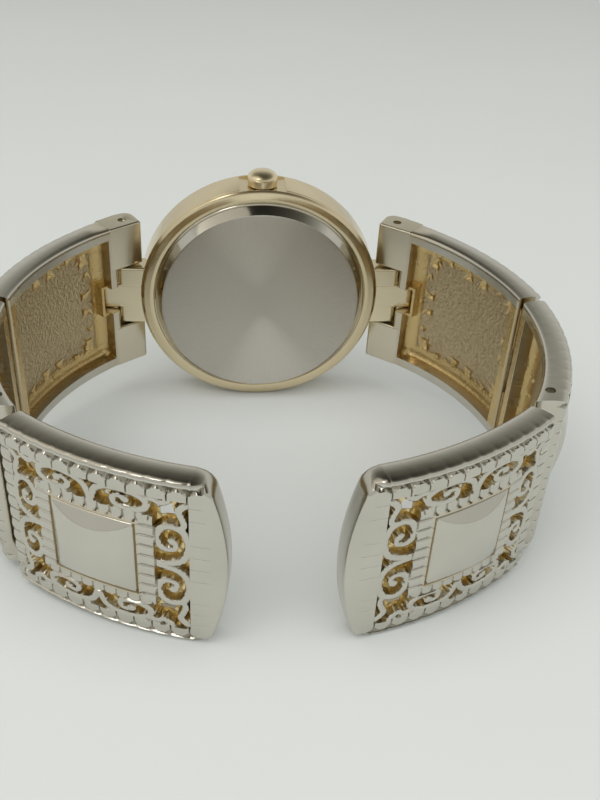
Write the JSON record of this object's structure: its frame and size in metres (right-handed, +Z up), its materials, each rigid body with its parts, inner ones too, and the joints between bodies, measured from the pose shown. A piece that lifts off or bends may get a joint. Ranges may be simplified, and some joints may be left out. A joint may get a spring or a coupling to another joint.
{
  "type": "cuff watch",
  "caption": "Cuff wristwatch in gold and silver tone, its round case between hinged curved panels with pierced scroll work, square studs and ribbed edges, open at the front.",
  "frame": {"origin": "middle of the footprint of the watch standing on its edge, on the plane that it stands on", "axes": "+X across the watch from hinge to hinge, to the viewer's right when looking at the case back through the open front; +Y from the open front towards the case; +Z up along the bracelet's width, with the crown on top"},
  "size_m": [0.0724, 0.0626, 0.0357],
  "materials": {
    "gold_case": "polished gold tone",
    "back_steel": "sunburst brushed",
    "silver_panel": "polished silver tone",
    "crystal_glass": "polished",
    "dial_paint": "satin",
    "gold_trim": "polished",
    "movement_brass": "plain",
    "cover_steel": "brushed",
    "pin_steel": "ground",
    "coil_copper": "enamelled wire",
    "holder_plastic": "moulded"
  },
  "bodies": {
    "head": {"case_body": "gold_case", "case_back": "back_steel", "crystal": "crystal_glass", "dial": "dial_paint", "hour_markers": "gold_trim", "movement_plate": "movement_brass", "circuit_cover": "cover_steel", "cover_screws": "pin_steel", "battery": "cover_steel", "battery_clip": "cover_steel", "coil": "coil_copper", "holder_ring": "holder_plastic"},
    "setting_clutch": {"clutch": "pin_steel"},
    "crown_and_stem": {"crown": "gold_case", "stem": "pin_steel"},
    "hour_work": {"hour_hand": "gold_trim", "hour_wheel": "movement_brass"},
    "minute_work": {"minute_hand": "gold_trim", "cannon_pinion": "pin_steel"},
    "right_inner": {"right_inner_panel": "silver_panel", "right_lug_pin": "pin_steel"},
    "right_side": {"right_side_panel": "silver_panel", "right_front_pin": "pin_steel"},
    "right_end": {"right_end_panel": "silver_panel"},
    "left_inner": {"left_inner_panel": "silver_panel", "left_lug_pin": "pin_steel"},
    "left_side": {"left_side_panel": "silver_panel", "left_front_pin": "pin_steel"},
    "left_end": {"left_end_panel": "silver_panel"}
  },
  "joints": [
    {"name": "crown_pull", "type": "slide", "parent": "head", "child": "setting_clutch", "axis": [0, -0.1079, 0.9942], "range_m": [0, 0.0009]},
    {"name": "crown_turn", "type": "hinge", "parent": "setting_clutch", "child": "crown_and_stem", "pos_m": [0, 0.02581, 0.01718], "axis": [0, -0.1079, 0.9942], "continuous": true},
    {"name": "minute_turn", "type": "hinge", "parent": "head", "child": "minute_work", "pos_m": [0, 0.02352, 0.01693], "axis": [0, -0.9942, -0.1079], "continuous": true},
    {"name": "hour_turn", "type": "hinge", "parent": "head", "child": "hour_work", "pos_m": [0, 0.02352, 0.01693], "axis": [0, -0.9942, -0.1079], "continuous": true},
    {"name": "right_case_hinge", "type": "hinge", "parent": "head", "child": "right_inner", "pos_m": [0.0193, 0.02571, 0.01717], "axis": [0, -0.1079, 0.9942], "range_deg": [-2, 22]},
    {"name": "right_middle_hinge", "type": "hinge", "parent": "right_inner", "child": "right_side", "pos_m": [0.03332, 0.00465, 0.01489], "axis": [0, -0.1079, 0.9942], "range_deg": [-4, 20]},
    {"name": "right_front_hinge", "type": "hinge", "parent": "right_side", "child": "right_end", "pos_m": [0.02985, -0.01472, 0.01278], "axis": [0, -0.1079, 0.9942], "range_deg": [-3, 18]},
    {"name": "left_case_hinge", "type": "hinge", "parent": "head", "child": "left_inner", "pos_m": [-0.0193, 0.02571, 0.01717], "axis": [0, 0.1079, -0.9942], "range_deg": [-2, 22]},
    {"name": "left_middle_hinge", "type": "hinge", "parent": "left_inner", "child": "left_side", "pos_m": [-0.03332, 0.00465, 0.01489], "axis": [0, 0.1079, -0.9942], "range_deg": [-4, 20]},
    {"name": "left_front_hinge", "type": "hinge", "parent": "left_side", "child": "left_end", "pos_m": [-0.02985, -0.01472, 0.01278], "axis": [0, 0.1079, -0.9942], "range_deg": [-3, 18]}
  ],
  "couplings": [
    {"joint": "hour_turn", "follows": "minute_turn", "ratio": 0.083333}
  ]
}
